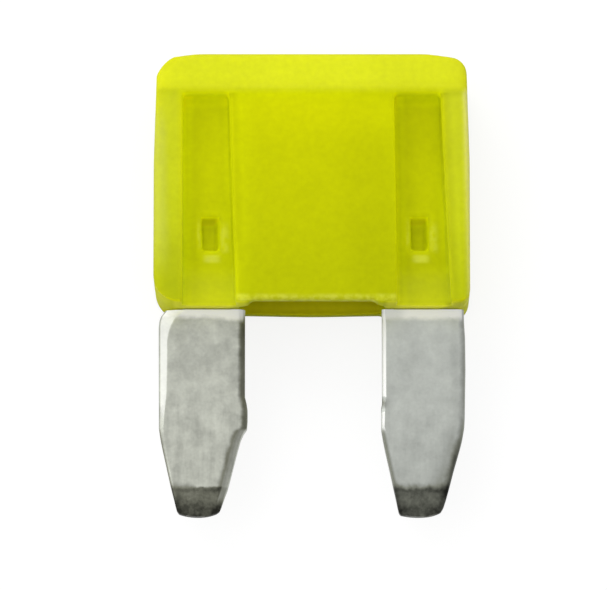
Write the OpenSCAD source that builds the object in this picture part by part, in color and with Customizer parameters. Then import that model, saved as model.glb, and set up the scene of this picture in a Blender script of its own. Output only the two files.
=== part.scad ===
// Automotive blade fuse of the mini size, lying flat on its back.
// X runs across the two blades, +Y points from the blade tips to the head, and Z is the thickness.
// The origin is the middle of the outline, on the surface that the fuse lies on.
// The modules draw each piece with Y from the open end of the housing and Z from its middle plane.

/* [Housing] */
// Width of the housing across its open end
housing_w = 10.9; // [10.7:0.1:12]
// Height of the housing, from its open end to the top of its head
housing_h = 8.76; // [8.2:0.01:10]
// Thickness of the head
head_t = 3.6; // [3.4:0.1:4.2]
// Height of the head
head_h = 1.25; // [1:0.05:1.6]
// How far the head stands out past the body, on the front and on the back
head_lip = 0.1; // [0.05:0.01:0.3]
// Length of the slope from the head down to the body
lip_slope_l = 0.14; // [0.1:0.01:0.4]
// How much thinner each face of the body gets from its open end to the head
face_draft = 0.05; // [0:0.01:0.08]
// How far each side leans in from the straight part to the head
side_draft = 0.11; // [0:0.01:0.3]
// Height of the straight part of the sides
side_straight_h = 5; // [2:0.1:6.5]
// Thickness of the walls round the chamber
wall_t = 0.5; // [0.35:0.05:0.6]

/* [Housing edges] */
// Length of the sloping shoulder at each end of the top
shoulder_l = 1.45; // [0.8:0.05:2.5]
// Drop of that shoulder at the side
shoulder_drop = 0.24; // [0.05:0.01:0.4]
// Radius between the shoulder and the side
shoulder_r = 0.6; // [0.1:0.05:0.7]
// Radius that blends the flat top into the shoulder
crown_r = 3; // [0.5:0.1:4]
// Radius of the corners beside the open end
foot_r = 0.5; // [0.05:0.05:0.6]
// Radius along the top edges of the head
head_edge_r = 0.3; // [0.05:0.05:0.5]
// Radius along the upright edges of the housing
upright_edge_r = 0.3; // [0.05:0.05:0.5]
// Radius along the edges of the open end
foot_edge_r = 0.12; // [0.02:0.01:0.2]

/* [Recess between the blades] */
// Depth of the recess in the open end
recess_d = 0.12; // [0.05:0.01:0.4]
// How far each side of the recess leans in from the blade
recess_lean = 0.19; // [0.05:0.01:0.4]

/* [Channels over the terminals] */
// Width of a channel at the head
channel_w = 1.6; // [1.2:0.05:2]
// How far its middle lies outside the middle of the terminal
channel_offset = 0.05; // [0:0.01:0.1]
// How much its inner wall spreads towards the open end
channel_spread_in = 0.07; // [0:0.01:0.3]
// How much its outer wall spreads towards the open end
channel_spread_out = 0.17; // [0:0.01:0.3]
// Depth of a channel at the head
channel_d = 0.55; // [0.3:0.05:0.7]
// How much deeper it is at the open end
channel_fall = 0.15; // [0:0.01:0.2]
// Radius of its corners under the head
channel_r = 0.12; // [0.02:0.01:0.3]

/* [Stakes] */
// Width of a stake and of the pocket that pressed it in
stake_w = 0.6; // [0.4:0.05:0.8]
// Height of a stake and of its pocket
stake_h = 1.16; // [0.8:0.02:1.4]
// Height of its middle above the open end
stake_y = 2.52; // [1.4:0.01:5]
// Depth of the pocket in the channel floor
pocket_d = 0.42; // [0.2:0.02:0.5]
// Gap left between the front and the back stake
stake_gap = 0.1; // [0.04:0.02:0.3]

/* [Test windows] */
// Width of the window over each terminal
window_w = 1.2; // [0.8:0.1:1.4]
// Height of the window across the thickness
window_t = 1; // [0.8:0.1:1.4]
// Depth of the window, from the top of the head to the end of the terminal
window_d = 0.75; // [0.5:0.05:1]

/* [Blades] */
// Distance between the middles of the two blades
blade_pitch = 7.65; // [7.5:0.05:7.7]
// Width of a blade
blade_w = 2.95; // [2.7:0.05:3]
// Thickness of a blade
blade_t = 0.8; // [0.7:0.05:0.9]
// Length of a blade outside the housing
blade_l = 7.22; // [6.5:0.01:8.5]
// Length of the parallel part of a blade
blade_straight_l = 4.15; // [3:0.05:4.6]
// How far the left edge leans in over the tapered part
taper_left = 0.57; // [0.2:0.01:0.8]
// How far the right edge leans in over the tapered part
taper_right = 0.8; // [0.2:0.01:0.9]
// Length of the clipped corners at the tip
tip_clip_l = 0.22; // [0.1:0.01:0.4]
// Width of the clipped corners at the tip
tip_clip_w = 0.26; // [0.1:0.01:0.4]
// Length of the lead-in bevel on both faces of the tip
lead_in_l = 1; // [0.4:0.05:1.6]
// Depth of the lead-in bevel on each face
lead_in_d = 0.22; // [0.05:0.01:0.28]
// Width of the coined edge on both faces
coin_w = 0.24; // [0.05:0.01:0.4]
// Depth of the coined edge on each face
coin_d = 0.14; // [0.03:0.01:0.25]

/* [Tie bar nubs] */
// Distance from the housing to a nub
nub_y = 3; // [1:0.1:3.4]
// Length of a nub along the blade
nub_l = 1.08; // [0.4:0.02:1.1]
// How far a nub stands out of the inner edge
nub_d = 0.1; // [0.02:0.01:0.15]

/* [Terminals and link] */
// Width of a terminal inside the housing
leg_w = 1.7; // [1.4:0.05:1.75]
// Distance between the middles of the two terminals
leg_pitch = 7.2; // [7:0.05:7.4]
// Thickness of a terminal
leg_t = 0.6; // [0.4:0.05:0.65]
// Length of the slope from the blade down to the terminal's thickness
root_slope_l = 0.25; // [0.1:0.01:0.5]
// Thickness of the fusible link
link_t = 0.25; // [0.1:0.05:0.4]
// Width of the fusible link
link_w = 0.75; // [0.4:0.05:0.9]
// Width left at the narrow middle of the link
neck_w = 0.45; // [0.2:0.05:0.6]
// Radius of the middle line of the link's bow
bow_r = 1.35; // [1:0.05:1.5]
// Height of the link's feet above the open end
link_y = 3.2; // [1.5:0.1:4]
// Height of the bow's centre above the feet
bow_rise = 0.9; // [0.4:0.1:1.2]

/* [Fit] */
// Gap between the element and the housing
fit = 0.05; // [0.02:0.01:0.08]

/* [Hidden] */
$fn = 64;

// Steps in a rounded corner
arc_steps = 8;
// How far a cut runs past the surface it opens through
over = 1;

// The outline is centred on the origin and the back of the head lies at Z = 0
place_y = (blade_l - housing_h) / 2;
place_z = head_t / 2;

body_half_t = head_t / 2 - head_lip;
head_y = housing_h - head_h;
channel_top_y = head_y - lip_slope_l;
side_x = housing_w / 2;

// The terminals, the channels over them and the stakes share one centre line
leg_x = leg_pitch / 2;
leg_top_y = housing_h - window_d;
slot_half_t = leg_t / 2 + fit;
slot_side_x = leg_x + leg_w / 2 + fit;

// The chamber lies between the terminals, inside the walls of the middle bulge
chamber_half_w = leg_x - leg_w / 2 - wall_t / 2;
chamber_half_t = body_half_t - face_draft - wall_t;
chamber_clip = 0.4;
chamber_top_y = channel_top_y - wall_t / 2;

blade_x = blade_pitch / 2;
taper_end_y = tip_clip_l - blade_l;

function unit(v) = v / norm(v);

// The points of an outline whose corners are rounded, each by its own radius
function rounded(corners, radii) = [
    for (i = [0 : len(corners) - 1])
        let (
            count = len(corners),
            corner = corners[i],
            r = radii[i],
            back = unit(corners[(i + count - 1) % count] - corner),
            ahead = unit(corners[(i + 1) % count] - corner),
            half_angle = acos(back * ahead) / 2,
            centre = corner + unit(back + ahead) * r / sin(half_angle),
            from = corner + back * r / tan(half_angle) - centre,
            to = corner + ahead * r / tan(half_angle) - centre,
            start = atan2(from[1], from[0]),
            turn = (atan2(to[1], to[0]) - start + 540) % 360 - 180
        )
        for (step = [0 : arc_steps])
            let (angle = start + turn * step / arc_steps)
            centre + r * [cos(angle), sin(angle)]
];

module in_place() translate([0, place_y, place_z]) children();

// Draws its children at both ends of the fuse
module both_sides() {
    children();
    mirror([1, 0, 0]) children();
}

// Draws its children on the front and on the back
module both_faces() {
    children();
    mirror([0, 0, 1]) children();
}

// Extrudes a profile drawn with Y across and Z up along X, to both sides
module across(width) {
    rotate([90, 0, 90]) linear_extrude(width, center = true) children();
}

// ---------------------------------------------------------------- housing

// Front view of the housing: drafted sides, sloping shoulders and a flat top
module front_outline() {
    top_x = side_x - side_draft;
    corners = [
        [side_x, 0],
        [side_x, side_straight_h],
        [top_x, housing_h - shoulder_drop],
        [top_x - shoulder_l, housing_h]
    ];
    radii = [foot_r, crown_r, shoulder_r, crown_r];
    left = [for (i = [len(corners) - 1 : -1 : 0]) [-corners[i][0], corners[i][1]]];
    left_radii = [for (i = [len(radii) - 1 : -1 : 0]) radii[i]];
    polygon(rounded(concat(corners, left), concat(radii, left_radii)));
}

// Side view of the body and of the head, both symmetric about the middle plane
module body_profile() {
    top_y = head_y + head_h / 2;
    low = body_half_t;
    high = body_half_t - face_draft;
    square_end = 0.001;
    polygon(rounded(
        [[0, -low], [top_y, -high], [top_y, high], [0, low]],
        [foot_edge_r, square_end, square_end, foot_edge_r]
    ));
}

module head_profile() {
    half = head_t / 2;
    neck = body_half_t - face_draft;
    blend = lip_slope_l / 2;
    polygon(rounded(
        [[channel_top_y, -neck], [head_y, -half], [housing_h, -half],
         [housing_h, half], [head_y, half], [channel_top_y, neck]],
        [blend, blend, head_edge_r, head_edge_r, blend, blend]
    ));
}

// The notch across the open end, from one blade to the other. The wall above it keeps its
// rounded edges.
module blade_recess() {
    wide = blade_x - blade_w / 2;
    narrow = wide - recess_lean;
    top_y = recess_d + foot_edge_r;
    difference() {
        linear_extrude(2 * head_t, center = true)
            polygon([
                [wide, 0],
                [wide, -over],
                [-wide, -over],
                [-wide, 0],
                [-narrow, top_y],
                [narrow, top_y]
            ]);
        translate([0, recess_d, 0])
            across(housing_w) body_profile();
    }
}

// View from the top of a block with rounded upright edges
module plan_block(half_t) {
    corners = [[side_x, -half_t], [side_x, half_t], [-side_x, half_t], [-side_x, -half_t]];
    rotate([-90, 0, 0])
        linear_extrude(housing_h)
            polygon(rounded(corners, [for (corner = corners) upright_edge_r]));
}

module solid_housing() {
    intersection() {
        linear_extrude(head_t, center = true) front_outline();
        union() {
            intersection() {
                across(housing_w) body_profile();
                plan_block(body_half_t);
            }
            intersection() {
                across(housing_w) head_profile();
                plan_block(head_t / 2);
            }
        }
    }
}

// The recess over one terminal, on the front: it widens and deepens towards the open end
module channel() {
    middle_x = leg_x + channel_offset;
    in_top = middle_x - channel_w / 2;
    out_top = middle_x + channel_w / 2;
    in_slope = channel_spread_in / channel_top_y;
    out_slope = channel_spread_out / channel_top_y;
    floor_top = body_half_t - face_draft - channel_d;
    floor_slope = (channel_fall - face_draft) / channel_top_y;
    foot_drop = channel_top_y + over;
    sharp = 0.001;
    intersection() {
        linear_extrude(head_t)
            polygon(rounded(
                [[in_top, channel_top_y],
                 [out_top, channel_top_y],
                 [out_top + out_slope * foot_drop, -over],
                 [in_top - in_slope * foot_drop, -over]],
                [channel_r, channel_r, sharp, sharp]
            ));
        across(2 * housing_w)
            polygon([
                [channel_top_y, floor_top],
                [channel_top_y, head_t],
                [-over, head_t],
                [-over, floor_top - floor_slope * foot_drop]
            ]);
    }
}

// Half-height of the channel floor above the middle plane, beside the stake
function channel_floor_z() =
    body_half_t - face_draft - channel_d
    - (channel_fall - face_draft) * (channel_top_y - stake_y) / channel_top_y;

module stake_pocket() {
    translate([leg_x, stake_y, channel_floor_z() - pocket_d + over / 2])
        cube([stake_w, stake_h, over], center = true);
}

module stake() {
    depth = slot_half_t + fit - stake_gap / 2;
    translate([leg_x, stake_y, stake_gap / 2 + depth / 2])
        cube([stake_w, stake_h, depth], center = true);
}

// The slot that the element slides into, with the stakes left standing in it
module element_slot() {
    difference() {
        union() {
            translate([-slot_side_x, -over, -slot_half_t])
                cube([2 * slot_side_x, chamber_top_y + over, 2 * slot_half_t]);
            both_sides()
                translate([leg_x - leg_w / 2 - fit, 0, -slot_half_t])
                    cube([leg_w + 2 * fit, leg_top_y + fit, 2 * slot_half_t]);
        }
        both_sides() both_faces() stake();
    }
}

// The chamber round the link, open between the blades
module chamber() {
    x = chamber_half_w;
    z = chamber_half_t;
    translate([0, chamber_top_y, 0])
        rotate([90, 0, 0])
            linear_extrude(chamber_top_y + over)
                polygon([
                    [x, z - chamber_clip], [x - chamber_clip, z],
                    [chamber_clip - x, z], [-x, z - chamber_clip],
                    [-x, chamber_clip - z], [chamber_clip - x, -z],
                    [x - chamber_clip, -z], [x, chamber_clip - z]
                ]);
}

module test_window() {
    translate([leg_x, leg_top_y + over, 0])
        cube([window_w, 2 * over, window_t], center = true);
}

module housing() {
    color("#d2dc14")
        in_place()
            difference() {
                solid_housing();
                both_sides() both_faces() channel();
                both_sides() both_faces() stake_pocket();
                element_slot();
                chamber();
                blade_recess();
                both_sides() test_window();
            }
}

// ------------------------------------------------------------ fuse element

// Outline of one blade about its own centre line
module blade_outline() {
    half = blade_w / 2;
    polygon([
        [-half, 0],
        [half, 0],
        [half, -blade_straight_l],
        [half - taper_right, taper_end_y],
        [half - taper_right - tip_clip_w, -blade_l],
        [taper_left + tip_clip_w - half, -blade_l],
        [taper_left - half, taper_end_y],
        [-half, -blade_straight_l]
    ]);
}

// Cuts a slope off the front face, from a depth at the edge to nothing at a width inside it.
// The edge runs through the origin along Y, with the metal on its left.
module edge_slope(width, depth) {
    face = blade_t / 2;
    grade = depth / width;
    rotate([90, 0, 0])
        linear_extrude(4 * blade_l, center = true)
            polygon([
                [-width, face],
                [over, face - depth - grade * over],
                [over, face + over],
                [-width, face + over]
            ]);
}

module coined_edges() {
    half = blade_w / 2;
    taper_l = -taper_end_y - blade_straight_l;
    translate([half, 0, 0])
        edge_slope(coin_w, coin_d);
    translate([-half, 0, 0])
        rotate([0, 0, 180]) edge_slope(coin_w, coin_d);
    translate([half, -blade_straight_l, 0])
        rotate([0, 0, -atan(taper_right / taper_l)]) edge_slope(coin_w, coin_d);
    translate([-half, -blade_straight_l, 0])
        rotate([0, 0, 180 + atan(taper_left / taper_l)]) edge_slope(coin_w, coin_d);
    translate([0, -blade_l, 0])
        rotate([0, 0, -90]) edge_slope(lead_in_l, lead_in_d);
    rotate([0, 0, 90])
        edge_slope(root_slope_l, (blade_t - leg_t) / 2);
}

module blade() {
    difference() {
        linear_extrude(blade_t, center = true) blade_outline();
        both_faces() coined_edges();
    }
}

// What the shear leaves of the strip that held the blades together while they were stamped.
// The edge it grows from faces the other blade, on the left of the right-hand blade.
module nub() {
    bite = 2 * coin_w;
    inner = blade_w / 2;
    translate([-inner, -nub_y - nub_l, -blade_t / 2 + coin_d])
        linear_extrude(blade_t - 2 * coin_d)
            polygon([
                [bite, 0],
                [-nub_d, nub_d],
                [-nub_d, nub_l - nub_d],
                [0, nub_l],
                [bite, nub_l]
            ]);
}

module leg() {
    half = leg_w / 2;
    clip = leg_t / 2;
    difference() {
        linear_extrude(leg_t, center = true)
            difference() {
                polygon([
                    [-half, -root_slope_l],
                    [half, -root_slope_l],
                    [half, leg_top_y - clip],
                    [half - clip, leg_top_y],
                    [clip - half, leg_top_y],
                    [-half, leg_top_y - clip]
                ]);
                translate([0, stake_y])
                    square([stake_w + 2 * fit, stake_h + 2 * fit], center = true);
            }
    }
}

// The link: two feet on the terminals and a bow between them that narrows in its middle
module link() {
    outer = bow_r + link_w / 2;
    inner = bow_r - link_w / 2;
    bow_y = link_y + bow_rise;
    reach = leg_x - leg_w / 2 + fit;
    neck_cut_r = 0.5;
    linear_extrude(link_t, center = true) {
        difference() {
            translate([0, bow_y]) circle(outer);
            translate([0, bow_y]) circle(inner);
            translate([-2 * outer, bow_y - 2 * outer])
                square([4 * outer, 2 * outer]);
            translate([0, bow_y + bow_r + neck_w / 2 + neck_cut_r])
                circle(neck_cut_r);
            translate([0, bow_y + bow_r - neck_w / 2 - neck_cut_r])
                circle(neck_cut_r);
        }
        both_sides() {
            translate([inner, link_y - link_w / 2])
                square([link_w, bow_rise + link_w / 2]);
            translate([inner, link_y - link_w / 2])
                square([reach - inner, link_w]);
        }
    }
}

module fuse_element() {
    color("#b4b8b0")
        in_place() {
            translate([blade_x, 0, 0]) blade();
            translate([-blade_x, 0, 0]) blade();
            translate([blade_x, 0, 0]) nub();
            mirror([1, 0, 0]) translate([blade_x, 0, 0]) nub();
            both_sides() translate([leg_x, 0, 0]) leg();
            link();
        }
}

housing();
fuse_element();
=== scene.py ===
"""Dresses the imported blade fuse: its moulded housing, its stamped element and a small studio."""

import math

import bmesh
import bpy
from mathutils import Matrix, Vector


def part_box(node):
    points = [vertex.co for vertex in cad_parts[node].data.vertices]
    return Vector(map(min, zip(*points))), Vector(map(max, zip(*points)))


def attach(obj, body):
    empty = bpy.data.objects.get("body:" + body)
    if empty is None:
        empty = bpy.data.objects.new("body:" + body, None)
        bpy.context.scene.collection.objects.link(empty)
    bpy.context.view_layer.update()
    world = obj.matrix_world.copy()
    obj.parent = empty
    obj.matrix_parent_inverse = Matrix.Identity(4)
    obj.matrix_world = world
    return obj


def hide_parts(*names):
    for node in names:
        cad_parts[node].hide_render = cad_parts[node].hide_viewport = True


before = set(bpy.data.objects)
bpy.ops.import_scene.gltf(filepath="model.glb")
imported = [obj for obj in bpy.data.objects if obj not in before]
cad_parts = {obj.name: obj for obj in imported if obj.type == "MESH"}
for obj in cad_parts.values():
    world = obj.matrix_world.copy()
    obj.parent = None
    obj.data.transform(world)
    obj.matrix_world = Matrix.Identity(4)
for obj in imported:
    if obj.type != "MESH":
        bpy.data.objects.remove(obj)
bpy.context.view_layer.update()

bl_info = {
    "name": "Blade Fuse",
    "version": (1, 0, 0),
    "blender": (4, 5, 0),
    "location": "3D View > Sidebar > Fuse",
    "description": "Builds a plug-in blade fuse: moulded housing, stamped element and studio",
    "category": "Object",
}

# The shapes are worked in millimetres and turned into metres at the end
MM = 0.001
TO_MM = Matrix.Scale(1 / MM, 4)
TO_METRES = Matrix.Scale(MM, 4)
# Points of a CAD mesh that lie closer than this, in millimetres, are one point
MERGE_DISTANCE = 0.001


def box_mm(node):
    """Lowest and highest corner of a node, in millimetres."""
    return [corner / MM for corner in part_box(node)]


HOUSING_LOW, HOUSING_HIGH = box_mm("housing")
ELEMENT_LOW, ELEMENT_HIGH = box_mm("fuse_element")
OPEN_END = HOUSING_LOW.y
MIDDLE_HEIGHT = (HOUSING_LOW.z + HOUSING_HIGH.z) / 2
BLADE_LENGTH = OPEN_END - ELEMENT_LOW.y
BLADE_THICKNESS = ELEMENT_HIGH.z - ELEMENT_LOW.z


# ------------------------------------------------------------------ node trees


class Field:
    """A value in a node tree that is added, multiplied and blended like a number."""

    def __init__(self, tree, socket):
        self.tree = tree
        self.socket = socket

    def math(self, operation, *others):
        return add_node(self.tree, "ShaderNodeMath", [self, *others], operation=operation)

    def __add__(self, other):
        return self.math("ADD", other)

    def __radd__(self, other):
        return self.math("ADD", other)

    def __sub__(self, other):
        return self.math("SUBTRACT", other)

    def __rsub__(self, other):
        return self.math("MULTIPLY_ADD", -1.0, other)

    def __mul__(self, other):
        return self.math("MULTIPLY", other)

    def __rmul__(self, other):
        return self.math("MULTIPLY", other)

    def __truediv__(self, other):
        return self.math("DIVIDE", other)

    def least(self, other):
        return self.math("MINIMUM", other)

    def most(self, other):
        return self.math("MAXIMUM", other)

    def size(self):
        return self.math("ABSOLUTE")

    def rise(self, low, high, smooth=True):
        """0 below low, 1 above high. It falls instead where low is the larger."""
        kind = "SMOOTHSTEP" if smooth else "LINEAR"
        return add_node(
            self.tree, "ShaderNodeMapRange", [self, low, high, 0.0, 1.0], interpolation_type=kind
        )

    def peak(self, middle, width):
        """1 at the middle, and near 0 from about twice the width on either side of it."""
        off = (self - middle) / width
        return (off * off * -1.0).math("EXPONENT")


def put(tree, socket, value):
    """Links a field or a socket to a socket, or sets the socket's own value."""
    if isinstance(value, Field):
        value = value.socket
    if isinstance(value, bpy.types.NodeSocket):
        tree.links.new(value, socket)
    elif value is not None:
        socket.default_value = value


def add_node(tree, kind, values=(), output=0, **settings):
    """Adds a node, fills its inputs in order or by name, and returns one output as a field."""
    node = tree.nodes.new(kind)
    for name, value in settings.items():
        setattr(node, name, value)
    pairs = values.items() if isinstance(values, dict) else enumerate(values)
    for key, value in pairs:
        put(tree, node.inputs[key], value)
    return Field(tree, node.outputs[output])


def new_material(name):
    """A node material with an empty tree, and its principled shader."""
    material = bpy.data.materials.new(name)
    material.use_nodes = True
    tree = material.node_tree
    tree.nodes.clear()
    shader = tree.nodes.new("ShaderNodeBsdfPrincipled")
    output = tree.nodes.new("ShaderNodeOutputMaterial")
    tree.links.new(shader.outputs[0], output.inputs["Surface"])
    return material, tree, shader


def place_mm(tree):
    """Object coordinates in millimetres, as a vector and as three fields."""
    place = tree.nodes.new("ShaderNodeTexCoord").outputs["Object"]
    place = scaled(tree, place, 1 / MM)
    return place, split_place(tree, place)


def stretched(tree, place, stretch):
    """A place with each axis scaled by its own factor, for patterns that run one way."""
    return add_node(tree, "ShaderNodeVectorMath", [place, stretch], operation="MULTIPLY")


def noise(tree, place, scale, detail):
    """Noise from about 0 to 1, with its scale in patterns for each millimetre."""
    values = {"Vector": place, "Scale": scale, "Detail": detail}
    return add_node(tree, "ShaderNodeTexNoise", values)


# Where the Mix node keeps its colours among its sockets
MIX_COLOUR_A = 6
MIX_COLOUR_B = 7
MIX_COLOUR_RESULT = 2


def colour_mix(tree, factor, first, second):
    """Blends two colours by a field."""
    values = {"Factor": factor, MIX_COLOUR_A: first, MIX_COLOUR_B: second}
    return add_node(tree, "ShaderNodeMix", values, output=MIX_COLOUR_RESULT, data_type="RGBA")


def split_place(tree, vector):
    """The three parts of a vector, as fields."""
    split = tree.nodes.new("ShaderNodeSeparateXYZ")
    put(tree, split.inputs[0], vector)
    return [Field(tree, output) for output in split.outputs]


def scaled(tree, vector, factor):
    """A colour or a place times one factor."""
    return add_node(tree, "ShaderNodeVectorMath", {0: vector, "Scale": factor}, operation="SCALE")


def bump(tree, height, distance):
    """A bump whose distance is in millimetres."""
    return add_node(tree, "ShaderNodeBump", {"Height": height, "Distance": distance * MM})


# -------------------------------------------------------------------- settings


class HousingSettings(bpy.types.PropertyGroup):
    softness: bpy.props.FloatProperty(
        name="Mould softness", description="Cell of the moulded skin, in millimetres", default=0.05
    )
    rim_height: bpy.props.FloatProperty(
        name="Stake rim",
        description="Height of the plastic pushed up round each stake, in millimetres",
        default=0.025,
    )
    plastic: bpy.props.FloatVectorProperty(
        name="Plastic",
        description="Colour of the plastic over the chamber",
        subtype="COLOR",
        size=4,
        min=0,
        max=1,
        default=(0.75, 0.79, 0.001, 1),
    )


class ElementSettings(bpy.types.PropertyGroup):
    metal: bpy.props.FloatVectorProperty(
        name="Metal",
        description="Colour of the tinned zinc",
        subtype="COLOR",
        size=4,
        min=0,
        max=1,
        default=(0.56, 0.575, 0.505, 1),
    )


class StageSettings(bpy.types.PropertyGroup):
    tilt: bpy.props.FloatProperty(
        name="Camera tilt",
        description="How far the camera leans towards the blades",
        subtype="ANGLE",
        default=math.radians(10.6),
    )


# --------------------------------------------------------------- geometry trees


def new_shape_tree(name, sizes, takes_mesh=False):
    """A geometry tree with named number inputs, given as names with their values."""
    tree = bpy.data.node_groups.new(name, "GeometryNodeTree")
    tree.interface.new_socket("Geometry", in_out="OUTPUT", socket_type="NodeSocketGeometry")
    if takes_mesh:
        tree.interface.new_socket("Geometry", in_out="INPUT", socket_type="NodeSocketGeometry")
    for label, value in sizes.items():
        socket = tree.interface.new_socket(label, in_out="INPUT", socket_type="NodeSocketFloat")
        socket.default_value = value
    tree.interface.new_socket("Material", in_out="INPUT", socket_type="NodeSocketMaterial")
    inputs = tree.nodes.new("NodeGroupInput").outputs
    return tree, {socket.name: Field(tree, socket) for socket in inputs if socket.name}


def finish_shape_tree(tree, geometry, material):
    """Ends a tree in Realize Instances and Set Material."""
    done = add_node(tree, "GeometryNodeRealizeInstances", [geometry])
    done = add_node(tree, "GeometryNodeSetMaterial", {"Geometry": done, "Material": material})
    output = tree.nodes.new("NodeGroupOutput")
    tree.links.new(done.socket, output.inputs[0])


def pushed(tree, shape, x, y, z):
    """A shape whose points are pushed along the three axes."""
    offset = add_node(tree, "ShaderNodeCombineXYZ", [x, y, z])
    return add_node(tree, "GeometryNodeSetPosition", {"Geometry": shape, "Offset": offset})


def through(mesh, *steps):
    """Runs a mesh through modifiers, each given as its kind and settings, into a plain mesh."""
    item = bpy.data.objects.new("bench", mesh)
    bpy.context.scene.collection.objects.link(item)
    for kind, settings in steps:
        modifier = item.modifiers.new(kind.lower(), kind)
        sizes = settings.pop("sizes", {})
        for name, value in settings.items():
            setattr(modifier, name, value)
        if kind == "NODES":
            for socket in modifier.node_group.interface.items_tree:
                if socket.in_out == "INPUT" and socket.name in sizes:
                    modifier[socket.identifier] = sizes[socket.name]
    ready = item.evaluated_get(bpy.context.evaluated_depsgraph_get())
    result = bpy.data.meshes.new_from_object(ready)
    bpy.data.objects.remove(item)
    return result


def follow(tree, along, reach, points):
    """A value that runs through (distance, value) points, with its distances up to a reach."""
    low = min(value for _, value in points)
    span = max(value for _, value in points) - low or 1.0
    curve = tree.nodes.new("ShaderNodeFloatCurve")
    line = curve.mapping.curves[0]
    ready = [(distance / reach, (value - low) / span) for distance, value in points]
    line.points[0].location = ready[0]
    line.points[1].location = ready[-1]
    for place in ready[1:-1]:
        line.points.new(*place)
    for point in line.points:
        point.handle_type = "VECTOR"
    curve.mapping.update()
    put(tree, curve.inputs["Value"], (along / reach))
    return Field(tree, curve.outputs[0]) * span + low


# --------------------------------------------------------------------- housing


def cad_copy(node, name):
    """A copy of a CAD node's mesh in millimetres, with its loose triangles merged."""
    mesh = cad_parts[node].data.copy()
    mesh.name = name
    mesh.materials.clear()
    mesh.transform(TO_MM)
    shape = bmesh.new()
    shape.from_mesh(mesh)
    bmesh.ops.remove_doubles(shape, verts=shape.verts, dist=MERGE_DISTANCE)
    shape.to_mesh(mesh)
    shape.free()
    return mesh


def finish_mesh(mesh, name, material, sharp_angle):
    """Turns a mesh from millimetres into a piece in metres with smooth shading."""
    mesh.name = name
    mesh.transform(TO_METRES)
    mesh.materials.clear()
    mesh.materials.append(material)
    mesh.shade_smooth()
    mesh.set_sharp_from_angle(angle=sharp_angle)
    piece = bpy.data.objects.new(name, mesh)
    bpy.context.scene.collection.objects.link(piece)
    return piece


# The channels, in millimetres from the middle line: their walls at the open end, and how far the
# walls close in up to the head
CHANNEL_INSIDE = (2.78, 0.07)
CHANNEL_OUTSIDE = (4.62, -0.17)
CHANNEL_TOP = 7.37
# The front channels lean to the right towards the open end, by this much there
CHANNEL_LEAN = 0.17

# Middle and size of each stake pocket, in millimetres from the open end and the middle line
STAKE_X = 3.6
STAKE_Y = 2.52
STAKE_WIDTH = 0.6
STAKE_HEIGHT = 1.16

# The two rounder corners of the left side, seen from the front: the middle of each, in
# millimetres from the middle line and from the open end, its radius, and which way it points
ROUND_CORNERS = ((-3.98, 7.30, 1.52, 1.0), (-4.5, 0.95, 0.93, -1.0))


def round_corners():
    """Draws the outer corners of the left side in to a larger radius."""
    tree, size = new_shape_tree("round_corners", {"Rounding": 1.0}, takes_mesh=True)
    x, y, _ = split_place(tree, add_node(tree, "GeometryNodeInputPosition"))
    shape = size["Geometry"]
    for corner_x, corner_y, radius, outwards in ROUND_CORNERS:
        beside = (corner_x - x).most(0.0)
        beyond = ((y - (OPEN_END + corner_y)) * outwards).most(0.0)
        far = (beside * beside + beyond * beyond).math("SQRT")
        inwards = (far - radius).most(0.0) / far.most(0.01) * size["Rounding"]
        inwards = inwards * beyond.math("GREATER_THAN", 0.0) * beside.math("GREATER_THAN", 0.0)
        shape = pushed(tree, shape, inwards * beside, inwards * beyond * -outwards, 0.0)
    finish_shape_tree(tree, shape, size["Material"])
    return tree


def front_skin(z):
    """1 in the front wall of the housing, and 0 behind it."""
    return z.rise(MIDDLE_HEIGHT + 0.55, MIDDLE_HEIGHT + 0.95)


def channel_lean(up, z):
    """How much of the lean the front skin has at a height above the open end."""
    return (1.0 - up / CHANNEL_TOP).most(0.0) * front_skin(z)


def leaning_channels():
    """Leans the front channels to the right, and shapes the edges of the opening."""
    sizes = {"Lean": CHANNEL_LEAN, "Corner": 0.24, "Widening": 0.18, "Sag": 0.05}
    tree, size = new_shape_tree("leaning_channels", sizes, takes_mesh=True)
    x, y, z = split_place(tree, add_node(tree, "GeometryNodeInputPosition"))
    across = x.size()
    moving = across.rise(1.3, 2.1) * across.rise(5.3, 4.7)
    up = y - OPEN_END
    push = channel_lean(up, z) * moving * size["Lean"]
    # The opening between the blades is narrower on the right of the front. On the back it is
    # wider, and its edge sags.
    near_open_end = up.rise(0.9, 0.4)
    corner = x.rise(1.3, 2.1) * x.rise(2.75, 2.4) * near_open_end * up.rise(-0.06, 0.08)
    push = push - corner * front_skin(z) * size["Corner"]
    widening = x.rise(1.3, 2.1) * x.rise(2.9, 2.45) - x.rise(-1.3, -2.1) * x.rise(-2.9, -2.45)
    back_end = near_open_end * z.rise(MIDDLE_HEIGHT - 0.5, MIDDLE_HEIGHT - 0.9)
    push = push + widening * back_end * size["Widening"]
    sag = across.rise(3.2, 0.0) * back_end * size["Sag"]
    shape = pushed(tree, size["Geometry"], push, sag * -1.0, 0.0)
    finish_shape_tree(tree, shape, size["Material"])
    return tree


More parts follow.
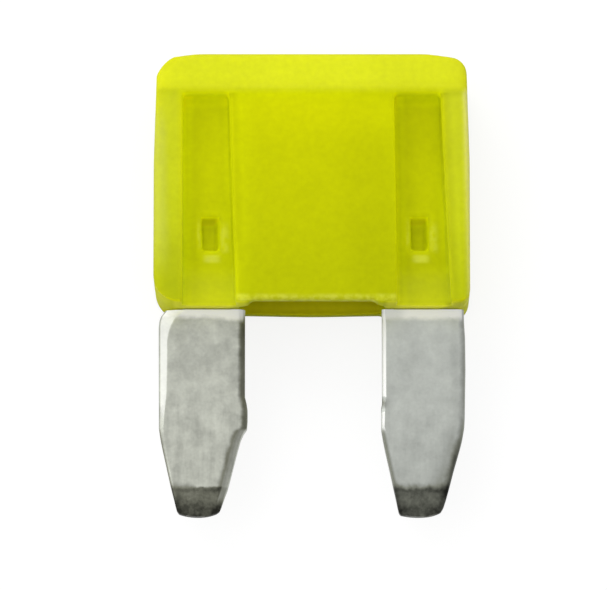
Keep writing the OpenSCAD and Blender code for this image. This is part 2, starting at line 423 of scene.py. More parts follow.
def stake_rims():
    """Pushes the channel floors up into a soft rim round each stake pocket."""
    sizes = {"Rim height": 0.0, "Rim distance": 0.17, "Rim width": 0.1}
    tree, size = new_shape_tree("stake_rims", sizes, takes_mesh=True)
    x, y, z = split_place(tree, add_node(tree, "GeometryNodeInputPosition"))
    normal = split_place(tree, add_node(tree, "GeometryNodeInputNormal"))[2]
    beside = ((x.size() - STAKE_X).size() - STAKE_WIDTH / 2).most(0.0)
    above = ((y - (OPEN_END + STAKE_Y)).size() - STAKE_HEIGHT / 2).most(0.0)
    far = (beside * beside + above * above).math("SQRT")
    ring = far.peak(size["Rim distance"], size["Rim width"]) * size["Rim height"]
    ring = ring * normal.size().rise(0.5, 0.9) * far.rise(0.0, 0.04)
    out = (z - MIDDLE_HEIGHT).math("SIGN")
    shape = pushed(tree, size["Geometry"], 0.0, 0.0, out * ring)
    finish_shape_tree(tree, shape, size["Material"])
    return tree


# Painted light: how much the channel floors' colour is brightened at a height above the open end,
# as (height, share), lifting the shade that falls in them; a share below 0 darkens
CHANNEL_PAINTED_LIGHT = {
    "left": [
        (0, 0.08), (0.23, 0.24), (0.44, 0.19), (0.76, 0.13), (1.18, 0.16), (1.4, 0.11), (2.0, 0.02),
        (4.5, 0.03), (5.2, 0), (6.1, -0.03), (6.74, -0.05), (6.9, -0.02), (7.05, 0.1), (9, 0.28),
    ],
    "right": [
        (0, 0.1), (0.23, 0.27), (0.44, 0.2), (0.76, 0.17), (1.18, 0.19), (1.4, 0.12), (2.0, 0.06),
        (4.0, 0.12), (4.8, 0.07), (5.5, 0.01), (6.1, -0.07), (6.74, -0.09), (6.9, -0.06),
        (7.05, 0.06), (9, 0.24),
    ],
}
# Painted light and shade: how much the head's colour is brightened or darkened at such a height
HEAD_PAINTED_LIGHT = [
    (0, 0.98), (7.3, 0.98), (7.75, 1.035), (8.0, 1.045), (8.3, 1.01), (8.55, 0.98), (9, 0.93),
]
# The height at which both lists end
LIGHT_REACH = 9.0


def housing_plastic(settings):
    material, tree, shader = new_material("translucent_moulded_plastic")
    place, (x, y, z) = place_mm(tree)
    up = y - OPEN_END
    x = x - channel_lean(up, z) * CHANNEL_LEAN
    across = x.size()
    on_right = x.rise(-0.1, 0.1, smooth=False)
    front = z.rise(MIDDLE_HEIGHT, MIDDLE_HEIGHT + 0.5)
    # Painted light and shade: over the chamber the plastic is darker towards the open end, brighter
    # under the head, and darker right of the middle and high on the left; the flanks are darker
    # towards the open end and lighter halfway up. Thick plastic in the head and the flanks is also
    # paler than the thin walls over the chamber
    foot = (0.56, 0.605, 0.002, 1)
    over_chamber = colour_mix(tree, up.rise(0.0, 8.0, smooth=False), foot, tuple(settings.plastic))
    bulge = up.rise(5.4, 7.0) * 0.08 + up.rise(7.15, 7.35) * 0.05
    bulge = bulge - x.rise(0.5, 1.9) * 0.06 - x.rise(2.0, 2.7) * 0.04
    bulge = bulge - x.rise(-1.2, -2.4) * up.rise(5.0, 6.5) * 0.06
    over_chamber = scaled(tree, over_chamber, bulge + 1.0)
    flank = colour_mix(
        tree, up.rise(0.5, 7.5, smooth=False), (0.50, 0.55, 0.008, 1), (0.685, 0.73, 0.022, 1)
    )
    middle = up.rise(1.6, 2.8) * up.rise(5.4, 4.2)
    flank = scaled(tree, flank, middle * 0.07 + 1.0)
    # Painted glow: the outer edges of the flanks are painted paler, the right one most, as if they
    # gathered the light
    low = up.rise(4.5, 2.0)
    glow = x.rise(5.05, 5.3) * 0.3 + x.rise(5.15, 5.34) * 0.7
    flank = scaled(tree, flank, x.rise(4.55, 4.9) * low * 0.1 + 1.0)
    flank = colour_mix(tree, glow * (front * 0.65 + 0.35), flank, (0.97, 0.99, 0.2, 1))
    left_edge = x.rise(-4.9, -5.25) * up.rise(7.2, 6.0) * up.rise(0.6, 2.8) * 0.5
    flank = colour_mix(tree, left_edge, flank, (0.60, 0.64, 0.11, 1))
    shade = colour_mix(tree, across.rise(4.4, 4.75), over_chamber, flank)

    # The channel floors are thin over the bright terminals. Painted light lifts the shade that
    # falls on them, beside their walls and in the stake pockets
    inside, outside = [
        up * (lean / CHANNEL_TOP) + foot_x for foot_x, lean in (CHANNEL_INSIDE, CHANNEL_OUTSIDE)
    ]
    from_inside = across - inside
    from_outside = outside - across
    below_head = up.rise(CHANNEL_TOP + 0.03, CHANNEL_TOP - 0.05)
    in_channel = from_inside.rise(-0.03, 0.05) * from_outside.rise(-0.03, 0.05) * below_head
    lights = [follow(tree, up, LIGHT_REACH, CHANNEL_PAINTED_LIGHT[side]) for side in ("left", "right")]
    painted_lift = lights[0] + on_right * (lights[1] - lights[0])
    left_wall = from_outside + on_right * (from_inside - from_outside)
    painted_lift = painted_lift + left_wall.rise(0.45, 0.2) * (0.17 - on_right * 0.02 + on_right * low * 0.08)
    right_wall = from_inside + on_right * (from_outside - from_inside)
    beyond = up.rise(1.4, 2.2) * 0.08 + 0.04 - on_right * 0.1
    beyond = beyond + on_right * up.rise(4.6, 2.4) * up.rise(0.5, 1.4) * 0.16
    painted_lift = painted_lift + right_wall.rise(0.35, 0.1) * beyond
    beside = x - (on_right * 2.0 - 1.0) * STAKE_X
    above = up - STAKE_Y
    in_pocket = (beside.size() - STAKE_WIDTH / 2).most(above.size() - STAKE_HEIGHT / 2)
    in_pocket = in_pocket.rise(0.04, -0.04)
    ends = above.rise(0.2, 0.52) * 0.6 + above.rise(-0.15, -0.55) * 0.18
    painted_lift = painted_lift + in_pocket * (ends + 0.23 + on_right * 0.04)
    shade = scaled(tree, shade, painted_lift * in_channel + 1.0)
    # Painted shade on the walls that face the light, and painted light on those that face away from
    # it and at the foot of the left channel's outer wall; faces leaning to the left are painted
    # darker
    lit = on_right * (from_outside - from_inside) + from_inside
    lit = lit.rise(-0.42, -0.12) * lit.rise(0.03, -0.04)
    unlit = on_right * (from_inside - from_outside) + from_outside
    unlit = unlit.rise(-0.06, 0.0) * unlit.rise(0.16, 0.05)
    walls = unlit * (on_right * 0.12 + 0.08) * up.rise(7.6, 6.8)
    higher = up.rise(0.8, 3.2)
    walls = walls - lit * (higher * 0.14 + 0.04 + on_right * (0.12 - higher * 0.12))
    facing = split_place(tree, tree.nodes.new("ShaderNodeTexCoord").outputs["Normal"])
    brow = facing[0].rise(-0.1, -0.45) * facing[2].rise(0.35, 0.6) * across.rise(4.9, 4.7)
    walls = walls - brow * up.rise(0.8, 2.5) * 0.1
    foot_of_wall = from_outside.rise(0.02, 0.08) * from_outside.rise(0.32, 0.18)
    walls = walls + foot_of_wall * (1.0 - on_right) * up.rise(0.3, 1.2) * low * 0.05
    shade = scaled(tree, shade, walls * across.rise(2.0, 2.2) * below_head * front + 1.0)

    # Painted light: the head is painted brightest just above its lower edge, and in the middle
    head = follow(tree, up, LIGHT_REACH, HEAD_PAINTED_LIGHT) + across.rise(3.4, 1.0) * 0.05
    head = scaled(tree, (0.75, 0.79, 0.02), head)
    shade = colour_mix(tree, up.rise(7.30, 7.58), shade, head)
    # Painted light: the strip under the flanks and the channels, its end faces and the lower
    # corners of the flanks are painted paler, lifting the shade that falls under them
    under_blades = across.rise(2.3, 2.5)
    shade = scaled(tree, shade, up.rise(0.14, 0.0) * under_blades * 0.3 + 1.0)
    end_face = facing[1].rise(-0.4, -0.8) * up.rise(0.08, 0.03)
    corner = facing[1].rise(-0.12, -0.45) * up.rise(0.9, 0.7) * across.rise(4.6, 4.75) * 0.5
    shade = colour_mix(tree, corner, shade, (0.93, 0.97, 0.0, 1))
    shade = colour_mix(tree, end_face * under_blades, shade, (0.97, 1.0, 0.04, 1))
    # Painted light: inside the chamber the colour is brightened, most in red, which deepens the
    # yellow; the back wall's end at the opening gets painted shade
    chamber = z.rise(MIDDLE_HEIGHT + 0.3, MIDDLE_HEIGHT) * facing[2].rise(0.2, 0.6)
    painted_chamber_light = stretched(tree, shade, (1.25, 1.07, 3.0))
    shade = colour_mix(tree, chamber * (1.0 - under_blades), shade, painted_chamber_light)
    back_end = up.rise(0.34, 0.13) * z.rise(MIDDLE_HEIGHT, MIDDLE_HEIGHT - 0.6)
    back_end = back_end * facing[2].rise(-0.7, -0.3) * (1.0 - under_blades)
    shade = scaled(tree, shade, 1.0 - back_end * 0.32)
    # Painted shade: the ends of the flanks and of the bulge are painted darker where they meet the
    # terminals
    painted_end_shade = across.rise(4.35, 4.6) * across.rise(5.35, 4.95) * (on_right * 0.24 + 0.22)
    painted_end_shade = painted_end_shade + across.rise(2.2, 2.45) * across.rise(2.95, 2.7) * 0.34
    shade = scaled(tree, shade, 1.0 - painted_end_shade * up.rise(0.18, 0.0) * front)
    # Painted highlight: the lip over the opening is painted paler, broken up by noise
    lip_highlight_breakup = noise(tree, place, 3.5, 3.0).rise(0.38, 0.66)
    lip = up.rise(0.36, 0.2) * up.rise(0.02, 0.1) * across.rise(2.9, 2.6) * front
    shade = colour_mix(tree, lip * (lip_highlight_breakup * 0.34 + 0.08), shade, (0.95, 0.98, 0.15, 1))

    # Painted highlights beside, below and left of each stake, on the slopes of the pushed-up rims
    # that face the light, and painted light on the channel floors near the open end
    broken = noise(tree, place, 4.0, 2.0).rise(0.3, 0.6)
    painted_highlight = beside.rise(0.30, 0.42) * beside.rise(0.70, 0.52)
    painted_highlight = painted_highlight * above.rise(0.5, 0.1) * above.rise(-0.75, -0.55)
    below = above.rise(-0.70, -0.82) * above.rise(-1.08, -0.92)
    below = below * beside.rise(-0.35, -0.1) * beside.rise(0.4, 0.15)
    before = beside.rise(-0.32, -0.38) * beside.rise(-0.5, -0.42) * above.size().rise(0.6, 0.3)
    painted_highlight = (painted_highlight * 0.5 + before * 0.3) * broken + below * 0.85
    painted_highlight = painted_highlight + up.rise(1.5, 0.7) * 0.14
    shade = colour_mix(tree, painted_highlight * in_channel * front, shade, (0.78, 0.82, 0.08, 1))
    cloud = noise(tree, place, 0.8, 3.0) * 0.6 + noise(tree, place, 3.0, 2.0) * 0.4
    grain = noise(tree, place, 14.0, 3.0)
    mottle = noise(tree, place, 5.0, 3.0) - 0.5
    shade = scaled(tree, shade, cloud * 0.12 + mottle * 0.16 + 0.94)
    put(tree, shader.inputs["Base Color"], shade)
    put(tree, shader.inputs["Roughness"], grain * 0.12 + 0.46)
    put(tree, shader.inputs["Normal"], bump(tree, grain, 0.003))
    shader.inputs["Specular IOR Level"].default_value = 0.02
    shader.inputs["Subsurface Weight"].default_value = 1.0
    shader.inputs["Subsurface Radius"].default_value = (1.0, 1.0, 0.2)
    shader.inputs["Subsurface Scale"].default_value = 1.2 * MM
    return material


# The voxel skin is smoothed this often, and then keeps this share of its faces
SMOOTHING_ROUNDS = 12
KEPT_FACES = 0.35
# Edges sharper than these angles stay sharp
HOUSING_SHARP_ANGLE = math.radians(60)
ELEMENT_SHARP_ANGLE = math.radians(35)


def make_housing(settings):
    plastic = housing_plastic(settings)
    rims = {"Rim height": settings.rim_height, "Material": plastic}
    mesh = through(
        cad_copy("housing", "housing_shell"),
        ("REMESH", {"mode": "VOXEL", "voxel_size": settings.softness}),
        ("SMOOTH", {"factor": 0.5, "iterations": SMOOTHING_ROUNDS}),
        ("NODES", {"node_group": stake_rims(), "sizes": rims}),
        ("NODES", {"node_group": leaning_channels(), "sizes": {"Material": plastic}}),
        ("NODES", {"node_group": round_corners(), "sizes": {"Material": plastic}}),
        ("DECIMATE", {"ratio": KEPT_FACES}),
    )
    piece = finish_mesh(mesh, "housing_shell", plastic, HOUSING_SHARP_ANGLE)
    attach(piece, "root")
    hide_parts("housing")


# --------------------------------------------------------------------- element


# Every list gives distances from the housing with a size there, in millimetres: how far the edge
# has leant in, and the width and the depth of its coined slope. Roundness 1 is a flat slope.
# Each blade was sheared and coined a little differently.
BLADES = {
    "left": {
        "centre": -3.81,
        "width": 3.02,
        "bow": 0.11,
        "left": {
            "lean": [
                (0, 0.30), (0.1, 0.22), (0.22, 0.12), (0.36, 0.07), (0.6, 0.04), (4.15, 0.06),
                (4.5, 0.115), (4.87, 0.19), (5.57, 0.345), (6.27, 0.50), (6.6, 0.575), (6.9, 0.64),
                (7.1, 0.69), (7.22, 0.77),
            ],
            "coined": [
                (0, 0.70), (0.13, 0.64), (0.3, 0.55), (0.6, 0.42), (0.85, 0.345), (1.1, 0.305),
                (2.0, 0.30), (3.0, 0.27), (3.6, 0.2), (4.4, 0.14), (5.5, 0.10), (7.22, 0.1),
            ],
            "depth": [
                (0, 0.24), (0.3, 0.21), (0.8, 0.17), (1.2, 0.155), (3.4, 0.15), (4.0, 0.07),
                (4.5, 0.03), (7.22, 0.03),
            ],
            "roundness": 1.0,
        },
        "right": {
            "lean": [
                (0, 0), (3.05, 0), (3.3, -0.06), (3.5, -0.09), (3.85, -0.09), (4.13, -0.07),
                (4.31, 0.05), (4.52, 0.145), (4.87, 0.242), (5.57, 0.42), (6.27, 0.595),
                (6.62, 0.71), (6.95, 0.81), (7.12, 0.87), (7.22, 0.99),
            ],
            "coined": [(0, 0.22), (3.0, 0.24), (3.5, 0.2), (4.1, 0.18), (4.3, 0.24), (7.22, 0.26)],
            "depth": [(0, 0.15), (4.1, 0.14), (4.3, 0.11), (7.22, 0.1)],
            "roundness": 1.3,
        },
    },
    "right": {
        "centre": 3.845,
        "width": 2.91,
        "bow": 0.07,
        "left": {
            "lean": [
                (0, 0.03), (2.95, 0.03), (3.2, 0.035), (3.32, 0.03), (3.45, 0.0), (4.14, 0.0),
                (4.3, 0.03), (4.52, 0.065), (4.87, 0.137), (5.57, 0.29), (6.27, 0.44),
                (6.62, 0.51), (6.9, 0.56), (7.12, 0.605), (7.22, 0.67),
            ],
            "coined": [
                (0, 0.1), (0.5, 0.15), (3.1, 0.15), (3.3, 0.1), (3.5, 0.14), (4.15, 0.12),
                (4.3, 0.18), (7.22, 0.15),
            ],
            "depth": [
                (0, 0.06), (3.1, 0.07), (3.3, 0.03), (3.5, 0.07), (4.1, 0.06), (4.3, 0.03),
                (7.22, 0.02),
            ],
            "roundness": 1.0,
        },
        "right": {
            "lean": [
                (0, 0.06), (0.5, 0.04), (1.0, 0.01), (2.1, 0), (3.1, 0.02), (3.8, 0.03),
                (4.13, 0.05), (4.31, 0.083), (4.52, 0.12), (4.87, 0.21), (5.57, 0.41),
                (6.27, 0.59), (6.62, 0.68), (6.95, 0.78), (7.13, 0.88), (7.22, 1.08),
            ],
            "coined": [(0, 0.2), (3.5, 0.26), (4.4, 0.24), (7.22, 0.28)],
            "depth": [(0, 0.09), (3.5, 0.11), (5.0, 0.14), (7.22, 0.15)],
            "roundness": 2.0,
        },
    },
}

# The front and the back of a blade have this many columns, of which so many lie along each edge.
# The coined slope ends on the last but two of those.
FACE_COLUMNS = 100
EDGE_COLUMNS = 16
EDGE_CROWDING = 1.6
EDGE_REACH = (EDGE_COLUMNS / (EDGE_COLUMNS - 2)) ** EDGE_CROWDING
BLADE_ROWS = 170


def blade_tree(side):
    """The rule of one blade: a skin wound round its section, from the tip to the housing."""
    rule = BLADES[side]
    sizes = {
        "Width": rule["width"],
        "Centre": rule["centre"],
        "Length": BLADE_LENGTH,
        "Thickness": BLADE_THICKNESS,
        "Lead-in length": 0.94,
        "Lead-in depth": 0.2,
        "Tip bow": rule["bow"],
        "Root burr length": 0.36,
        "Root burr height": 0.1,
        "Edge radius": 0.04,
        "Ripple": 0.012,
    }
    tree, size = new_shape_tree("blade_rule_" + side, sizes)
    columns = 2 * FACE_COLUMNS + 2
    rows = BLADE_ROWS + 2
    values = {"Size X": 1.0, "Size Y": 1.0, "Vertices X": columns + 1, "Vertices Y": rows + 1}
    grid = add_node(tree, "GeometryNodeMeshGrid", values)
    across, along, _ = split_place(tree, add_node(tree, "GeometryNodeInputPosition"))
    column = ((across + 0.5) * float(columns)).math("ROUND").math("MODULO", float(columns))
    row = ((along + 0.5) * float(rows)).math("ROUND")

    back = column.math("GREATER_THAN", FACE_COLUMNS + 0.5)
    place = column + back * (2.0 * FACE_COLUMNS + 1.0 - 2.0 * column)
    share = (row - 1.0).most(0.0).least(float(BLADE_ROWS)) / float(BLADE_ROWS)
    # Rows crowd towards the tip and towards the housing
    share = (share * math.pi).math("COSINE") * -0.25 + 0.25 + share * 0.5
    down = (1.0 - share) * size["Length"]
    capped = (row - 0.5).size().least((row - (rows - 0.5)).size()).math("GREATER_THAN", 0.6)

    edges = {
        name: {
            key: follow(tree, down, BLADE_LENGTH, rule[name][key])
            for key in ("lean", "coined", "depth")
        }
        for name in ("left", "right")
    }
    width = size["Width"] - edges["left"]["lean"] - edges["right"]["lean"]
    tip_width = width.most(0.5)
    counted = {"left": place, "right": float(FACE_COLUMNS) - place}
    for name, count in counted.items():
        crowd = (count / float(EDGE_COLUMNS)).least(1.0).math("POWER", EDGE_CROWDING)
        edges[name]["reach"] = edges[name]["coined"] * EDGE_REACH
        edges[name]["near"] = crowd * edges[name]["reach"]
    middle = (place - float(EDGE_COLUMNS)) / float(FACE_COLUMNS - 2 * EDGE_COLUMNS)
    middle = middle.most(0.0).least(1.0)
    left_reach, right_reach = edges["left"]["reach"], edges["right"]["reach"]
    inside = edges["left"]["near"] + middle * (width - left_reach - right_reach)
    inside = inside + right_reach - edges["right"]["near"]
    x = size["Centre"] - size["Width"] * 0.5 + edges["left"]["lean"] + inside

    # The tip is bowed: its end draws back towards the two corners
    off_middle = (inside / tip_width - 0.5) * 2.0
    bow = off_middle * off_middle * size["Tip bow"] * (share * -6.0 + 1.0).most(0.0)
    half = size["Thickness"] * 0.5
    to_tip = size["Length"] - down
    gaps = {"left": inside, "right": width - inside}
    drop = (1.0 - to_tip / size["Lead-in length"]).most(0.0) * size["Lead-in depth"]
    burr = (1.0 - down / size["Root burr length"]).most(0.0)
    drop = drop - burr * burr * size["Root burr height"]
    for name, gap in gaps.items():
        slope = (1.0 - gap / edges[name]["coined"]).most(0.0)
        drop = drop + slope.math("POWER", rule[name]["roundness"]) * edges[name]["depth"]
    for gap in (*gaps.values(), to_tip):
        near = (1.0 - gap / size["Edge radius"]).most(0.0)
        drop = drop + near * near * size["Edge radius"] * 0.6
    spot = add_node(tree, "ShaderNodeCombineXYZ", [x, down, back * 7.0])
    streaks = noise(tree, stretched(tree, spot, (1.8, 0.45, 1.0)), 1.0, 3.0)
    drop = drop + streaks * size["Ripple"]
    height = (half - drop).most(0.04) * capped
    z = height * (1.0 - 2.0 * back) + MIDDLE_HEIGHT
    spot = add_node(tree, "ShaderNodeCombineXYZ", [x, OPEN_END - down + bow, z])
    shape = add_node(tree, "GeometryNodeSetPosition", {"Geometry": grid, "Position": spot})
    values = {"Geometry": shape, "Distance": 0.0002}
    closed = add_node(tree, "GeometryNodeMergeByDistance", values)
    finish_shape_tree(tree, closed, size["Material"])
    return tree


def edge_marks():
    """Marks every point with its distance from the housing and from both edges of its blade, and
    with how far it lies down the coined slope of the left edge."""
    tree, size = new_shape_tree("edge_marks", {}, takes_mesh=True)
    x, y, _ = split_place(tree, add_node(tree, "GeometryNodeInputPosition"))
    down = (OPEN_END - y).most(0.0)
    on_right = x.math("GREATER_THAN", 0.0)
    marks = {"down": down}
    for name, sign in (("left", 1.0), ("right", -1.0)):
        gaps = []
        for rule in BLADES.values():
            lean = follow(tree, down, BLADE_LENGTH, rule[name]["lean"])
            gaps.append((x - rule["centre"]) * sign + rule["width"] / 2 - lean)
        marks[name + "_gap"] = gaps[0] + on_right * (gaps[1] - gaps[0])
        if name == "left":
            slopes = [
                1.0 - gap / follow(tree, down, BLADE_LENGTH, rule[name]["coined"])
                for gap, rule in zip(gaps, BLADES.values())
            ]
            marks["left_slope"] = slopes[0] + on_right * (slopes[1] - slopes[0])
    shape = size["Geometry"]
    for name, value in marks.items():
        values = {"Geometry": shape, "Name": name, "Value": value}
        shape = add_node(tree, "GeometryNodeStoreNamedAttribute", values)
    finish_shape_tree(tree, shape, size["Material"])
    return tree


# The CAD shape is cut this far inside the housing, and its legs then reach this far into the
# blades, in millimetres
LEG_CUT = 0.01
LEG_LAP = 0.1


def terminals():
    """The legs and the link inside the housing, cut from the CAD shape and let into the blades."""
    mesh = cad_copy("fuse_element", "terminals")
    shape = bmesh.new()
    shape.from_mesh(mesh)
    cut = OPEN_END + LEG_CUT
    found = bmesh.ops.bisect_plane(
        shape,
        geom=shape.verts[:] + shape.edges[:] + shape.faces[:],
        plane_co=(0, cut, 0),
        plane_no=(0, 1, 0),
        clear_inner=True,
    )
    rim = [item for item in found["geom_cut"] if isinstance(item, bmesh.types.BMEdge)]
    bmesh.ops.holes_fill(shape, edges=rim, sides=0)
    for item in shape.verts:
        if abs(item.co.y - cut) < MERGE_DISTANCE:
            item.co.y = OPEN_END - LEG_LAP
    shape.to_mesh(mesh)
    shape.free()
    return mesh


def united(first, *others):
    """The union of closed meshes."""
    benches = []
    for mesh in others:
        bench = bpy.data.objects.new("bench", mesh)
        bpy.context.scene.collection.objects.link(bench)
        benches.append(bench)
    steps = [
        ("BOOLEAN", {"operation": "UNION", "solver": "EXACT", "object": bench}) for bench in benches
    ]
    result = through(first, *steps)
    for bench in benches:
        bpy.data.objects.remove(bench)
    return result


def mark(tree, name):
    """A mark that edge_marks left on the points."""
    return add_node(tree, "ShaderNodeAttribute", output="Fac", attribute_name=name)


def tinned_zinc(settings):
    material, tree, shader = new_material("tinned_zinc")
    place, (x, y, _) = place_mm(tree)
    names = ("left_gap", "right_gap", "left_slope", "down")
    left_gap, right_gap, left_slope, down = [mark(tree, name) for name in names]
    on_blade = y.rise(OPEN_END + 0.02, OPEN_END, smooth=False)
    on_left = x.rise(0.1, -0.1, smooth=False)
    on_right = 1.0 - on_left

    # The tin is cloudy, with faint streaks along the blade and specks
    cloud = noise(tree, place, 1.3, 4.0).rise(0.3, 0.7)
    blotch = noise(tree, place, 3.2, 3.0) - 0.5
    streaks = noise(tree, stretched(tree, place, (4.0, 0.5, 1.0)), 1.0, 3.0).rise(0.3, 0.7)
    specks = noise(tree, place, 9.0, 3.0)
    light = 0.87 + cloud * (0.1 + on_left * 0.1) + blotch * (0.2 + on_left * 0.18)
    # Along each blade the tone also changes: towards the tip the left blade is lighter and the
    # right darker, and near the housing the right is lighter
    light = light + down.rise(3.6, 5.0) * (on_left * 0.08 - 0.05)
    light = light - down.rise(3.0, 1.0) * on_left * 0.02
    light = light + (streaks - 0.5) * down.rise(2.2, 4.0) * (0.08 + on_left * 0.12)
    light = light + (specks - 0.5) * (0.16 + on_left * 0.1) + down.rise(1.6, 0.4) * on_right * 0.08

    # Painted shade along the sheared edges, most of all the right one of each blade, on the tapers,
    # in the notch and beside the right blade's tip; the sheared edges are also duller
    straight = down.rise(4.25, 4.15, smooth=False)
    taper = 1.0 - straight
    wavy = right_gap + blotch * 0.12
    shaded_and_worn = wavy.rise(0.3, 0.1) * on_left * straight * down.rise(0.1, 0.7) * 0.68
    lower = down.rise(3.6, 5.4) * down.rise(7.2, 6.3)
    shaded_and_worn = shaded_and_worn + wavy.rise(lower * 0.1 + 0.24, 0.0) * on_right * (lower * 0.48 + 0.4)
    beside_tip = down.rise(3.9, 4.6) * down.rise(6.5, 6.2) * (down.rise(5.6, 6.0) * 0.14 + 0.16)
    beside_tip = right_gap.rise(1.1, 0.35) * beside_tip + right_gap.rise(0.6, 0.35) * 0.09
    shaded_and_worn = shaded_and_worn + beside_tip * right_gap.rise(0.12, 0.35) * on_right
    crease = wavy.peak(0.265, 0.1) * down.rise(6.5, 6.2)
    shaded_and_worn = shaded_and_worn + (crease * 0.6 + right_gap.rise(0.22, 0.14) * 0.24) * on_left * taper
    lip = left_gap.rise(on_right * taper * 0.12 + 0.07, 0.02)
    shaded_and_worn = shaded_and_worn + lip * (0.25 - on_right * 0.2 + taper * (0.35 + on_right * 0.15))
    notch = down.peak(3.3, 0.18) * on_right * left_gap.rise(0.32, 0.0)
    shaded_and_worn = shaded_and_worn + notch * 0.5
    light = light * (1.0 - shaded_and_worn.least(0.82))

    # Painted shade: the lead-in of the tip faces down, away from the light, and is painted darker,
    # with a ragged upper end and a darker line along it
    ragged = noise(tree, stretched(tree, place, (2.2, 1.0, 1.0)), 1.0, 3.0) - 0.5
    ragged = ragged + (noise(tree, place, 6.0, 2.0) - 0.5) * 0.3
    ragged = down + ragged * (on_right * 0.25 + 0.2)
    sharp = x.rise(-4.2, -3.9) * on_left
    tip = ragged.rise(sharp * 0.16 + 5.99, 6.32 - sharp * 0.08)
    tip = tip * (1.0 - right_gap.rise(0.24, 0.17) * down.rise(6.9, 6.5) * on_left * 0.7)
    to_corner = left_gap.least(right_gap).rise(0.5, 0.0) * down.rise(6.3, 6.8)
    tip_edge_shade = ragged.peak(6.33, 0.08) * 0.08
    tip_brightness = 0.30 - on_right * 0.03 + blotch * 0.3 + (specks - 0.5) * 0.2
    tip_brightness = tip_brightness + (1.0 - sharp) * on_left * down.rise(6.6, 6.4) * 0.1
    tip_brightness = tip_brightness - down.rise(on_right * 0.15 + 6.6, 7.05) * (0.16 - on_right * 0.06)
    tip_brightness = (tip_brightness - to_corner * (0.12 - on_right * 0.1) - tip_edge_shade).most(0.06)
    light = light * (1.0 - tip * (1.0 - tip_brightness))

    # Painted highlights: the band against the housing and the coined slope on the left are painted
    # near white and less metallic
    band = down + blotch * 0.2 - x.rise(-3.6, -2.6) * on_left * 0.1
    band = (band - on_right * 0.06).rise(0.4, 0.15) * right_gap.rise(0.02, 0.1)
    band = band * (1.0 - x.rise(3.4, 2.9) * on_right * 0.4)
    inset = left_gap.rise(0.03, 0.08).most(on_right * 0.7)
    painted_slope_highlight = left_slope.rise(0.0, 0.1) * inset
    end = on_left * 3.7 + on_right * (4.15 + notch * -9.0)
    painted_slope_highlight = painted_slope_highlight * (end - down).rise(-0.25, 0.25) * (0.42 + on_right * 0.53)
    painted_highlight = band.most(painted_slope_highlight) * on_blade * inset

    tin = colour_mix(tree, on_right, tuple(settings.metal), (0.59, 0.615, 0.57, 1))
    # Where the tin is darkest, from its tone or its painted shade, it is also yellower
    tin = colour_mix(tree, light.rise(0.75, 0.3), tin, stretched(tree, tin, (1.0, 0.99, 0.88)))
    shade = colour_mix(tree, painted_highlight, scaled(tree, tin, light), (0.98, 0.98, 0.95, 1))
    put(tree, shader.inputs["Base Color"], shade)
    put(tree, shader.inputs["Metallic"], 1.0 - painted_highlight * 0.6)
    put(tree, shader.inputs["Roughness"], cloud * 0.08 + 0.33 + tip * 0.12 + painted_highlight * 0.1)
    put(tree, shader.inputs["Normal"], bump(tree, specks, 0.004))
    return material


def make_element(settings):
    metal = tinned_zinc(settings)
    blades = []
    for side in BLADES:
        values = {"node_group": blade_tree(side), "sizes": {"Material": metal}}
        blades.append(through(bpy.data.meshes.new("blade"), ("NODES", values)))
    mesh = united(terminals(), *blades)
    mesh = through(mesh, ("NODES", {"node_group": edge_marks(), "sizes": {"Material": metal}}))
    piece = finish_mesh(mesh, "fuse_stamping", metal, ELEMENT_SHARP_ANGLE)
    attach(piece, "root")
    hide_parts("fuse_element")


# ----------------------------------------------------------------------- stage


def add_lamp(name, place, aim, size, power):
    """A square soft lamp, with its place, aim and size in millimetres and its power in watts."""
    lamp = bpy.data.lights.new(name, "AREA")
    lamp.shape = "RECTANGLE"
    lamp.size, lamp.size_y = (side * MM for side in size)
    lamp.energy = power
    item = bpy.data.objects.new(name, lamp)
    item.location = Vector(place) * MM
    item.rotation_euler = (Vector(aim) - Vector(place)).to_track_quat("-Z", "Y").to_euler()
    bpy.context.scene.collection.objects.link(item)


# In millimetres
FLOOR_WIDTH = 4000


def white_floor():
    """A white card that is seen white however much light falls on it, and keeps the shadow."""
    material = bpy.data.materials.new("white_floor")
    material.use_nodes = True
    tree = material.node_tree
    tree.nodes.clear()
    rays = tree.nodes.new("ShaderNodeLightPath").outputs
    seen = Field(tree, rays["Is Camera Ray"]).most(Field(tree, rays["Is Glossy Ray"]))
    seen = seen.most(Field(tree, rays["Is Transmission Ray"]))
    card = tree.nodes.new("ShaderNodeBsdfDiffuse")
    card.inputs["Color"].default_value = (0.25, 0.25, 0.25, 1)
    glow = tree.nodes.new("ShaderNodeEmission")
    put(tree, glow.inputs["Strength"], seen * 0.82)
    both = tree.nodes.new("ShaderNodeAddShader")
    output = tree.nodes.new("ShaderNodeOutputMaterial")
    tree.links.new(card.outputs[0], both.inputs[0])
    tree.links.new(glow.outputs[0], both.inputs[1])
    tree.links.new(both.outputs[0], output.inputs["Surface"])
    return material


def make_floor():
    half = FLOOR_WIDTH / 2 * MM
    mesh = bpy.data.meshes.new("floor")
    corners = [(-half, -half, 0), (half, -half, 0), (half, half, 0), (-half, half, 0)]
    mesh.from_pydata(corners, [], [(0, 1, 2, 3)])
    mesh.materials.append(white_floor())
    floor = bpy.data.objects.new("floor", mesh)
    bpy.context.scene.collection.objects.link(floor)


def make_world():
    """A white room that is brighter on the left and behind the head."""
    world = bpy.data.worlds.new("studio")
    world.use_nodes = True
    tree = world.node_tree
    sky = tree.nodes["Background"]
    sky.inputs["Color"].default_value = (1, 1, 1, 1)
    x, y, _ = split_place(tree, tree.nodes.new("ShaderNodeTexCoord").outputs["Generated"])
    put(tree, sky.inputs["Strength"], (x * -0.15 + y * 0.14 + 0.78).most(0.05))
    bpy.context.scene.world = world


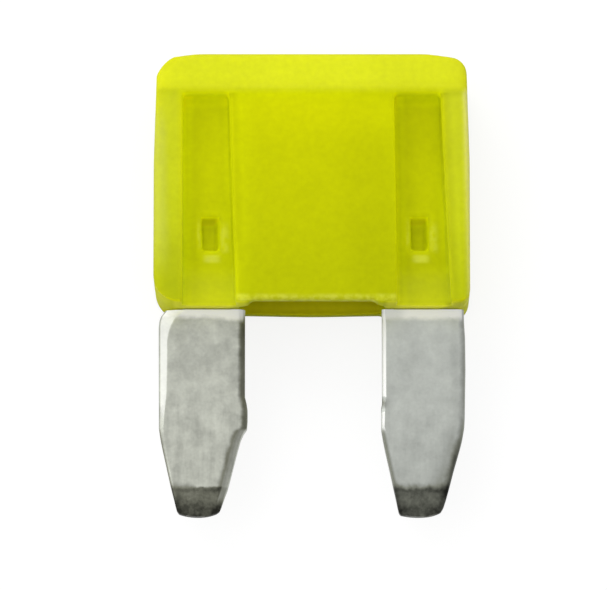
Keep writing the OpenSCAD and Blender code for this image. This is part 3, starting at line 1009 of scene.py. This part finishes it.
def make_camera(settings):
    """A long lens over the fuse. Its distance, aim and width of view are in millimetres."""
    scene = bpy.context.scene
    distance = 260.0
    view_width = 20.98
    aim = Vector((-0.283, -0.20, MIDDLE_HEIGHT))
    data = bpy.data.cameras.new("camera")
    data.sensor_width = 36.0
    data.lens = data.sensor_width * distance / view_width
    data.clip_start = 0.01
    data.clip_end = 10.0
    camera = bpy.data.objects.new("camera", data)
    back = Vector((0, -math.sin(settings.tilt), math.cos(settings.tilt)))
    camera.location = (aim + back * distance) * MM
    camera.rotation_euler = (settings.tilt, 0, 0)
    scene.collection.objects.link(camera)
    scene.camera = camera
    scene.view_settings.view_transform = "Standard"


def make_stage(settings):
    make_floor()
    make_world()
    middle = (0, 0, MIDDLE_HEIGHT)
    add_lamp("key", (-60, 110, 100), middle, (90, 90), 0.05)
    add_lamp("left_strip", (-130, 0, 75), middle, (60, 90), 0.02)
    make_camera(settings)


# ----------------------------------------------------------- operators and panel


class FUSE_OT_housing(bpy.types.Operator):
    """Build the moulded housing"""

    bl_idname = "fuse.housing"
    bl_label = "Housing"

    def execute(self, context):
        make_housing(context.scene.fuse_housing)
        return {"FINISHED"}


class FUSE_OT_element(bpy.types.Operator):
    """Build the stamped fuse element"""

    bl_idname = "fuse.element"
    bl_label = "Fuse element"

    def execute(self, context):
        make_element(context.scene.fuse_element)
        return {"FINISHED"}


class FUSE_OT_stage(bpy.types.Operator):
    """Set up the floor, the lamps and the camera"""

    bl_idname = "fuse.stage"
    bl_label = "Stage"

    def execute(self, context):
        make_stage(context.scene.fuse_stage)
        return {"FINISHED"}


class FUSE_PT_panel(bpy.types.Panel):
    """Lists the fuse's builders"""

    bl_label = "Blade fuse"
    bl_idname = "FUSE_PT_panel"
    bl_space_type = "VIEW_3D"
    bl_region_type = "UI"
    bl_category = "Fuse"

    def draw(self, context):
        for operator in OPERATORS:
            self.layout.operator(operator.bl_idname)


OPERATORS = (FUSE_OT_housing, FUSE_OT_element, FUSE_OT_stage)
SETTINGS = {
    "fuse_housing": HousingSettings,
    "fuse_element": ElementSettings,
    "fuse_stage": StageSettings,
}


def register():
    for group in SETTINGS.values():
        bpy.utils.register_class(group)
    for operator in OPERATORS:
        bpy.utils.register_class(operator)
    bpy.utils.register_class(FUSE_PT_panel)
    for name, group in SETTINGS.items():
        setattr(bpy.types.Scene, name, bpy.props.PointerProperty(type=group))


def unregister():
    for name in SETTINGS:
        delattr(bpy.types.Scene, name)
    bpy.utils.unregister_class(FUSE_PT_panel)
    for operator in reversed(OPERATORS):
        bpy.utils.unregister_class(operator)
    for group in reversed(list(SETTINGS.values())):
        bpy.utils.unregister_class(group)


def main():
    register()
    bpy.ops.fuse.housing()
    bpy.ops.fuse.element()
    bpy.ops.fuse.stage()


if __name__ == "__main__":
    main()
